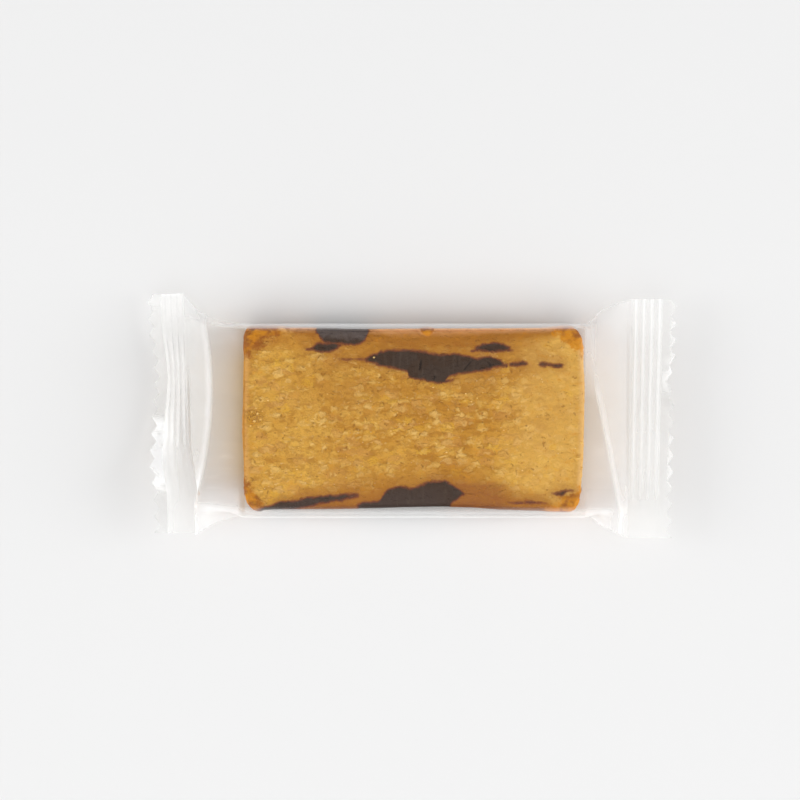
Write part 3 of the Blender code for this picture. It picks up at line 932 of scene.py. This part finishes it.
class Nodes:
    """A material's or world's node tree, with short calls to add nodes and join them."""

    def __init__(self, tree):
        self.tree = tree

    def add(self, kind, values=None, **settings):
        """Adds a node. Values are numbers or sockets by input name or number, and settings its properties."""
        node = self.tree.nodes.new(kind)
        for key, value in settings.items():
            setattr(node, key, value)
        for key, value in (values or {}).items():
            if isinstance(value, bpy.types.NodeSocket):
                self.tree.links.new(value, node.inputs[key])
            else:
                node.inputs[key].default_value = value
        return node

    def math(self, operation, a, b=0.0, c=0.0, clamp_it=False):
        node = self.add("ShaderNodeMath", {0: a, 1: b, 2: c}, operation=operation, use_clamp=clamp_it)
        return node.outputs[0]

    def times(self, first, *others):
        for other in others:
            first = self.math("MULTIPLY", first, other)
        return first

    def total(self, start, *parts):
        """The start, plus each part's value times its weight."""
        for value, weight in parts:
            start = self.math("MULTIPLY_ADD", value, weight, start)
        return start

    def roughened(self, mask, *noises):
        """A mask whose edge wanders in and out by each (noise, amount)."""
        for wander, amount in noises:
            mask = self.total(mask, (self.math("SUBTRACT", wander, 0.5), amount))
        return mask

    def ramp(self, value, low, high, to_low=0.0, to_high=1.0, smooth=True):
        node = self.add(
            "ShaderNodeMapRange",
            {"Value": value, "From Min": low, "From Max": high, "To Min": to_low, "To Max": to_high},
            interpolation_type="SMOOTHSTEP" if smooth else "LINEAR",
        )
        return node.outputs[0]

    def mix_colour(self, share, a, b):
        colours = {}
        for key, value in ((6, a), (7, b)):
            colours[key] = value if isinstance(value, bpy.types.NodeSocket) else (*value, 1)
        return self.add("ShaderNodeMix", {0: share, **colours}, data_type="RGBA").outputs[2]

    def cover(self, colour, *layers):
        """The colour with layers over it, each as (colour, mask, shares that thin the mask)."""
        for over, mask, *shares in layers:
            colour = self.mix_colour(self.times(mask, *shares), colour, over)
        return colour

    def attribute(self, name):
        return self.add("ShaderNodeAttribute", attribute_name=name).outputs["Fac"]

    def scaled(self, vector, scale):
        return self.add("ShaderNodeMapping", {"Vector": vector, "Scale": scale}).outputs[0]

    def noise(self, vector, scale, detail=3.0, rough=0.5, distortion=0.0, output="Fac"):
        values = {"Vector": vector, "Scale": scale, "Detail": detail, "Roughness": rough}
        return self.add("ShaderNodeTexNoise", {**values, "Distortion": distortion}).outputs[output]

    def cells(self, vector, scale):
        """How far each place is from its cell's middle, and three random tones of each cell."""
        cells = self.add("ShaderNodeTexVoronoi", {"Vector": vector, "Scale": scale}).outputs
        return cells["Distance"], self.add("ShaderNodeSeparateColor", {"Color": cells["Color"]}).outputs

    def principled_surface(self, values):
        shader = self.add("ShaderNodeBsdfPrincipled", values)
        self.add("ShaderNodeOutputMaterial", {"Surface": shader.outputs[0]})


def new_material(name):
    material = bpy.data.materials.new(name)
    material.use_nodes = True
    material.node_tree.nodes.clear()
    return material, Nodes(material.node_tree)


def place_in_mm(nodes):
    coordinates = nodes.add("ShaderNodeTexCoord").outputs["Object"]
    return nodes.scaled(coordinates, (1 / MM, 1 / MM, 1 / MM))


class CrumbPatterns:
    """The places, noises, grains and pits that the biscotti's colours and relief share."""

    def __init__(self, nodes):
        self.place = place_in_mm(nodes)
        self.along, self.across, self.height = nodes.add("ShaderNodeSeparateXYZ", {0: self.place}).outputs
        wander = nodes.noise(self.place, 0.8, 2.0, output="Color")
        warp = {0: wander, 1: (2.4, 1.6, 1.6), 2: self.place}
        warped = nodes.add("ShaderNodeVectorMath", warp, operation="MULTIPLY_ADD").outputs[0]
        self.drawn_out = nodes.scaled(warped, (0.6, 1.0, 1.0))

        self.broad = nodes.noise(self.drawn_out, 0.16, 2.0)
        self.patchy = nodes.noise(self.drawn_out, 0.42, 2.0)
        self.lumps = nodes.noise(self.drawn_out, 0.95, 4.0, 0.62)
        self.fine = nodes.noise(self.place, 4.0, 3.0, 0.65)
        self.left_end = nodes.ramp(self.along, -10.0, -24.0)
        self.right_end = nodes.ramp(self.along, 14.0, 25.0)
        self.front = nodes.ramp(self.across, 1.0, -1.0)

        self.big, self.big_tones, self.big_gaps = self.grains(nodes, 0.78, 0.34)
        self.small, self.small_tones, self.small_gaps = self.grains(nodes, 1.6, 0.40)
        away, tones = nodes.cells(warped, 1.15)
        open_here = nodes.times(nodes.ramp(tones[0], 0.58, 0.70), nodes.ramp(self.lumps, 0.56, 0.44))
        self.pits = nodes.times(nodes.ramp(away, 0.36, 0.16), open_here)
        away, tones = nodes.cells(self.place, 1.3)
        self.specks = nodes.times(nodes.ramp(away, 0.17, 0.09), nodes.ramp(tones[0], 0.86, 0.90))

        self.rim = nodes.attribute("rim")
        self.skin = nodes.roughened(nodes.attribute("skin"), (self.lumps, 0.7))
        self.smooth_skin = nodes.ramp(nodes.attribute("skin"), 0.45, 0.90)

    def grains(self, nodes, scale, soft):
        """A mask of raised grains, fading from their middles partly as painted light on their domes, each
        grain's tones, and how dark the gaps between the grains are, partly painted shade.
        """
        away, tones = nodes.cells(self.drawn_out, scale)
        dome = nodes.ramp(away, 0.62, 0.62 - soft)
        raised = nodes.ramp(nodes.roughened(tones[0], (self.patchy, 1.1)), 0.45, 0.53)
        gap = nodes.times(nodes.ramp(away, 0.46, 0.66), nodes.ramp(self.lumps, 0.60, 0.42))
        return nodes.times(dome, raised), tones, gap


def crumb_colour(nodes, crumb, settings):
    """Golden crumb with paler grains and darker gaps and pits, partly painted light and shade of its relief,
    calmer and paler towards its right end.
    """
    calm = nodes.total(1.0, (crumb.left_end, 0.05), (crumb.right_end, -0.55))
    tone = nodes.total(
        0.0, (crumb.lumps, 0.80), (crumb.broad, 0.75), (crumb.fine, 0.15), (crumb.patchy, 0.80),
        (crumb.left_end, 0.19), (crumb.right_end, 0.20),
    )
    pale = nodes.mix_colour(crumb.big_tones[1], settings.crumb_mid, settings.crumb_light)
    palest = nodes.times(crumb.small, nodes.ramp(crumb.small_tones[1], 0.3, 1.0))
    yellow = nodes.times(nodes.ramp(crumb.big_tones[2], 0.90, 0.96), nodes.ramp(crumb.lumps, 0.44, 0.56))
    smudge = nodes.times(nodes.attribute("smudge"), nodes.ramp(crumb.lumps, 0.25, 0.60, 0.5, 0.85))
    gaps = nodes.math("MAXIMUM", crumb.big_gaps, nodes.times(crumb.small_gaps, 0.8))
    near_rim = nodes.times(nodes.ramp(crumb.rim, 3.0, 1.4), nodes.ramp(crumb.lumps, 0.35, 0.6))
    return nodes.cover(
        nodes.mix_colour(nodes.ramp(tone, 0.98, 1.52), settings.crumb_dark, settings.crumb_mid),
        # Paler grains, partly painted light on their domes
        (pale, crumb.big, calm, 0.70),
        (settings.crumb_light, palest, calm, 0.65),
        ((0.86, 0.50, 0.035), yellow, 0.5),
        ((0.62, 0.30, 0.090), nodes.ramp(crumb.big_tones[2], 0.22, 0.10), calm, 0.35),
        ((0.55, 0.26, 0.035), smudge),
        ((0.93, 0.68, 0.30), crumb.right_end, 0.12),
        # Gaps and pits darker than their own colour, partly painted shade in the relief
        ((0.36, 0.135, 0.010), gaps, calm, 0.46),
        ((0.33, 0.130, 0.012), crumb.pits, 0.62),
        ((0.95, 0.74, 0.38), crumb.specks, 0.75),
        ((0.53, 0.225, 0.018), near_rim, 0.35),
    )


def baked_colour(nodes, crumb, settings, colour):
    """The colour with baked skin on the sides and ends, painted light on the skin's back rim and right end,
    the rough spot and the darker corners over it.
    """
    flush = nodes.times(nodes.ramp(crumb.across, 11.5, 14.5), nodes.ramp(crumb.along, -6.0, -14.0))
    browned = nodes.ramp(crumb.skin, -0.05, 0.32)
    reddish = nodes.times(
        nodes.ramp(crumb.along, 7.0, 9.0), nodes.ramp(crumb.along, 20.0, 15.5),
        nodes.ramp(crumb.across, -11.9, -13.4), nodes.ramp(crumb.lumps, 0.35, 0.60, 0.45, 0.80),
    )
    # Painted light: the skin is lighter on the back side, where its edge turns away into shade, and lighter
    # still at the right end; the front side keeps its own dark crust
    sunlit = nodes.mix_colour(crumb.right_end, (0.74, 0.360, 0.140), (0.84, 0.485, 0.245))
    skin_with_painted_light = nodes.mix_colour(crumb.front, sunlit, (0.25, 0.078, 0.016))
    # Painted light: a lighter band along the back rim's outermost millimetre or so, where the rounded edge
    # falls into shade
    painted_light_back_rim = nodes.times(nodes.ramp(crumb.rim, 1.5, 0.3), nodes.ramp(crumb.across, 10.0, 14.0))

    down_end = nodes.ramp(crumb.height, 8.8, 7.4)
    end_tone = nodes.mix_colour(crumb.right_end, (0.82, 0.460, 0.135), (0.76, 0.455, 0.158))
    end_tone = nodes.mix_colour(down_end, end_tone, (0.52, 0.270, 0.075))
    end_skin = nodes.times(nodes.ramp(crumb.rim, 1.5, 0.45), nodes.ramp(browned, 0.6, 0.1))
    spot = nodes.ramp(nodes.attribute("spot"), 0.15, 0.7)
    spot_tone = nodes.mix_colour(nodes.ramp(crumb.fine, 0.42, 0.62), (0.30, 0.095, 0.008), (0.74, 0.42, 0.04))

    ear = nodes.roughened(nodes.attribute("ear"), (crumb.fine, 0.4), (crumb.lumps, 0.6))
    blotches = nodes.noise(crumb.place, 0.42, 2.0, 0.55, 0.3)
    golden = nodes.math("ADD", blotches, nodes.ramp(crumb.along, -24.0, 24.0, -0.04, 0.075))
    golden = nodes.total(golden, (nodes.times(crumb.front, crumb.left_end), 0.07))
    ear_tone = nodes.mix_colour(nodes.ramp(golden, 0.44, 0.66), (0.34, 0.098, 0.003), settings.corner)
    ear_tone = nodes.cover(ear_tone, ((0.80, 0.42, 0.030), crumb.small, 0.20))
    return nodes.cover(
        colour,
        ((0.50, 0.185, 0.008), flush, 0.5),
        ((0.47, 0.190, 0.014), nodes.ramp(crumb.skin, -1.0, -0.05), 0.62),
        (settings.crust, browned, 0.85),
        ((0.34, 0.115, 0.022), reddish),
        (skin_with_painted_light, crumb.smooth_skin, 0.8),
        ((0.86, 0.470, 0.210), painted_light_back_rim, 0.7),
        (end_tone, end_skin, nodes.ramp(down_end, 0.0, 1.0, 0.8, 0.45)),
        (spot_tone, spot, 0.7),
        (ear_tone, nodes.ramp(ear, -0.02, 0.26), 0.92),
    )


def swirl_colour(nodes, crumb, settings, colour):
    """The colour with the coffee swirls over it: a stain, a reddish margin, dark dough with a painted sheen
    by the back rim, and painted shade in its cracks.
    """
    swirl = nodes.roughened(nodes.attribute("swirl"), (crumb.fine, 0.35), (crumb.lumps, 0.9))
    olive = nodes.ramp(nodes.noise(crumb.place, 0.30, 2.0), 0.44, 0.56)
    # Painted sheen: by the back rim, towards the left, the coffee is paler and greyer, as the film's haze
    # over the sloping edge
    coffee_with_painted_sheen = nodes.mix_colour(crumb.front, (0.130, 0.098, 0.088), (0.064, 0.037, 0.026))
    painted_sheen = nodes.times(nodes.ramp(crumb.skin, -0.1, 0.5), nodes.ramp(crumb.along, 8.0, 3.0, 0.3, 1.0))
    streaks = nodes.noise(nodes.scaled(crumb.place, (2.0, 0.30, 1.0)), 1.0, 3.0, 0.6)
    coffee = nodes.cover(
        settings.coffee,
        ((0.058, 0.034, 0.022), olive, 0.8),
        (coffee_with_painted_sheen, painted_sheen),
        ((0.110, 0.076, 0.054), nodes.ramp(streaks, 0.52, 0.68), 0.28),
    )
    return nodes.cover(
        colour,
        ((0.36, 0.125, 0.012), nodes.ramp(swirl, -2.6, -0.1), 0.40),
        ((0.185, 0.040, 0.020), nodes.ramp(swirl, -0.60, -0.10), 0.85),
        (coffee, nodes.ramp(swirl, -0.30, 0.26)),
        # Painted shade in the cracks of the coffee dough
        ((0.014, 0.006, 0.003), nodes.ramp(nodes.attribute("crack"), 0.1, 0.7), 0.75),
    )


def biscotti_material(settings):
    """Golden open crumb, with baked skin, darker corners and coffee swirls where the mesh's masks say."""
    material, nodes = new_material("baked_biscotti")
    crumb = CrumbPatterns(nodes)
    colour = crumb_colour(nodes, crumb, settings)
    colour = baked_colour(nodes, crumb, settings, colour)
    colour = swirl_colour(nodes, crumb, settings, colour)
    uneven = nodes.total(
        0.0, (crumb.fine, 0.18), (crumb.lumps, 0.9), (crumb.small, 0.45), (crumb.big, 0.9),
        (crumb.specks, 0.5), (crumb.pits, -0.6),
    )
    relief = nodes.total(0.95, (crumb.smooth_skin, -0.6), (crumb.right_end, -0.5))
    bump = nodes.add("ShaderNodeBump", {"Height": uneven, "Strength": relief, "Distance": 0.16 * MM})
    nodes.principled_surface({
        "Base Color": colour,
        "Roughness": nodes.ramp(crumb.smooth_skin, 0.0, 1.0, 0.62, 0.50),
        "Specular IOR Level": 0.2,
        "Normal": bump.outputs[0],
    })
    return material


def crumb_material(settings):
    """Pale golden grains with a sugary gloss."""
    material, nodes = new_material("loose_crumbs")
    fine = nodes.noise(place_in_mm(nodes), 3.0, 2.0)
    colour = nodes.mix_colour(nodes.ramp(fine, 0.40, 0.60), settings.crumb_mid, (0.96, 0.68, 0.24))
    nodes.principled_surface({"Base Color": colour, "Roughness": 0.5, "Specular IOR Level": 0.4})
    return material


def film_material(settings):
    """Clear plastic film: see-through face on, mirror-like where it turns away, white where milky or where
    highlights and reflections are painted, and darker with painted shade in creases and past the slice's left
    end.
    """
    if "clear_film" in bpy.data.materials:
        return bpy.data.materials["clear_film"]
    material, nodes = new_material("clear_film")
    quiet = nodes.attribute("quiet")
    # The haze is partly the film's milkiness and partly painted highlights and reflections
    haze_and_painted_light = nodes.math("MAXIMUM", nodes.attribute("haze_and_painted_light"), 0.0)
    slack = nodes.total(0.1, (nodes.attribute("loose"), 0.9))
    crinkle = nodes.times(nodes.noise(place_in_mm(nodes), 0.55, 3.0, 0.55), slack)
    bump = nodes.add("ShaderNodeBump", {"Height": crinkle, "Strength": 0.35, "Distance": 0.15 * MM})
    # Painted shade: where the haze is below 0, along the creases, less light comes through and the film looks
    # darker
    painted_crease_shade = nodes.ramp(nodes.attribute("haze_and_painted_light"), -1.0, 0.0, smooth=False)
    tint = nodes.mix_colour(painted_crease_shade, (0.90, 0.88, 0.86), (0.99, 0.99, 0.985))
    # Painted shade and bounce light: the film past the slice's left end lets through darker, golden light
    tint = nodes.cover(tint, ((0.80, 0.66, 0.42), nodes.attribute("painted_warm_shade")), ((1, 1, 1), quiet))
    see_through = nodes.add("ShaderNodeBsdfTransparent", {"Color": tint})
    gloss_values = {
        "Base Color": (1, 1, 1, 1),
        "Metallic": nodes.math("MULTIPLY_ADD", haze_and_painted_light, -0.65, 0.95, clamp_it=True),
        "Roughness": nodes.ramp(haze_and_painted_light, 0.0, 1.0, settings.roughness, settings.seal_roughness),
        "Normal": bump.outputs[0],
    }
    gloss = nodes.add("ShaderNodeBsdfPrincipled", gloss_values)

    fresnel = nodes.add("ShaderNodeFresnel", {"IOR": 1.5, "Normal": bump.outputs[0]})
    path = nodes.add("ShaderNodeLightPath")
    seen = nodes.total(0.25, (path.outputs["Is Camera Ray"], 0.95))
    mirror = nodes.math("MINIMUM", nodes.times(fresnel.outputs[0], seen), 0.42)
    mirror = nodes.times(mirror, nodes.ramp(quiet, 0.0, 1.0, 1.0, 0.0, smooth=False))
    scattered = nodes.total(0.10, (path.outputs["Is Shadow Ray"], -0.08))
    mirror = nodes.math("MULTIPLY_ADD", haze_and_painted_light, scattered, mirror, clamp_it=True)
    film = nodes.add("ShaderNodeMixShader", {0: mirror, 1: see_through.outputs[0], 2: gloss.outputs[0]})
    nodes.add("ShaderNodeOutputMaterial", {"Surface": film.outputs[0]})
    return material


def floor_material():
    """Matt white card."""
    material, nodes = new_material("pale_floor")
    nodes.principled_surface({"Base Color": (0.80, 0.80, 0.80, 1), "Roughness": 0.9})
    return material


def studio_world():
    """A white tent round the pack, bright at its sides and dim straight above, where the camera looks in."""
    world = bpy.data.worlds.new("studio_tent")
    world.use_nodes = True
    world.node_tree.nodes.clear()
    nodes = Nodes(world.node_tree)
    direction = nodes.add("ShaderNodeTexCoord").outputs["Generated"]
    axes = nodes.add("ShaderNodeSeparateXYZ", {"Vector": direction}).outputs
    upwards = nodes.ramp(axes["Z"], 0.35, 0.80, 0.58, 0.18)
    strength = nodes.times(upwards, nodes.ramp(axes["Y"], -1.0, 1.0, 1.35, 0.8, smooth=False))
    background = nodes.add("ShaderNodeBackground", {"Color": (1, 1, 1, 1), "Strength": strength})
    nodes.add("ShaderNodeOutputWorld", {"Surface": background.outputs[0]})
    return world


def softbox(name, place, size, power, mirrored=True):
    """An area light that faces the pack. One that isn't mirrored leaves no highlight on the film."""
    light = bpy.data.lights.new(name, "AREA")
    light.shape = "RECTANGLE"
    light.size, light.size_y = size
    light.energy = power
    lamp = link_object(name, light)
    lamp.location = place
    lamp.rotation_euler = (-place).to_track_quat("-Z", "Y").to_euler()
    lamp.visible_glossy = mirrored


class BISCOTTI_OT_stage(bpy.types.Operator):
    """Lays the pale floor, sets the three softboxes and places the camera straight above the pack"""

    bl_idname = "biscotti.stage"
    bl_label = "Stage"

    def execute(self, context):
        settings = context.scene.biscotti_stage
        bm = bmesh.new()
        bmesh.ops.create_grid(bm, x_segments=1, y_segments=1, size=settings.floor_size / 2)
        floor = smooth_piece("floor", bm, floor_material())

        softbox("light_key", Vector((0, -0.80, 1.40)), (1.8, 1.3), settings.key_power)
        softbox("light_left", Vector((-1.60, 0, 0.68)), (0.8, 0.9), settings.left_power, mirrored=False)
        softbox("light_right", Vector((1.60, 0, 0.68)), (0.8, 0.9), settings.right_power, mirrored=False)

        context.scene.world = studio_world()
        context.scene.view_settings.view_transform = "Standard"

        lens = bpy.data.cameras.new("camera")
        lens.lens = CAMERA_LENS
        lens.sensor_width = SENSOR_WIDTH
        lens.clip_start = 0.01
        camera = link_object("camera", lens)
        camera.location = CAMERA_PLACE
        context.scene.camera = camera
        return {"FINISHED"}


class BISCOTTI_PT_sidebar(bpy.types.Panel):
    """Lists the pieces of the wrapped slice and the sizes that shape them"""

    bl_label = "Coffee Biscotti"
    bl_space_type = "VIEW_3D"
    bl_region_type = "UI"
    bl_category = "Biscotti"

    def draw(self, context):
        layout = self.layout
        for group in SETTINGS:
            settings = getattr(context.scene, group)
            box = layout.box()
            for name in settings.bl_rna.properties.keys():
                if name not in ("rna_type", "name"):
                    box.prop(settings, name)
        for operator in OPERATORS:
            layout.operator(operator.bl_idname)


OPERATORS = (BISCOTTI_OT_bake, BISCOTTI_OT_crumbs, BISCOTTI_OT_wrap, BISCOTTI_OT_fold_seam, BISCOTTI_OT_stage)
SETTINGS = {"biscotti_slice": SliceSettings, "biscotti_film": FilmSettings, "biscotti_stage": StageSettings}


def register():
    for cls in (*SETTINGS.values(), *OPERATORS, BISCOTTI_PT_sidebar):
        bpy.utils.register_class(cls)
    for name, cls in SETTINGS.items():
        setattr(bpy.types.Scene, name, PointerProperty(type=cls))


def unregister():
    for name in SETTINGS:
        delattr(bpy.types.Scene, name)
    for cls in reversed((*SETTINGS.values(), *OPERATORS, BISCOTTI_PT_sidebar)):
        bpy.utils.unregister_class(cls)


def main():
    register()
    bpy.ops.biscotti.bake()
    bpy.ops.biscotti.crumbs()
    bpy.ops.biscotti.wrap()
    bpy.ops.biscotti.fold_seam()
    bpy.ops.biscotti.stage()


if __name__ == "__main__":
    main()
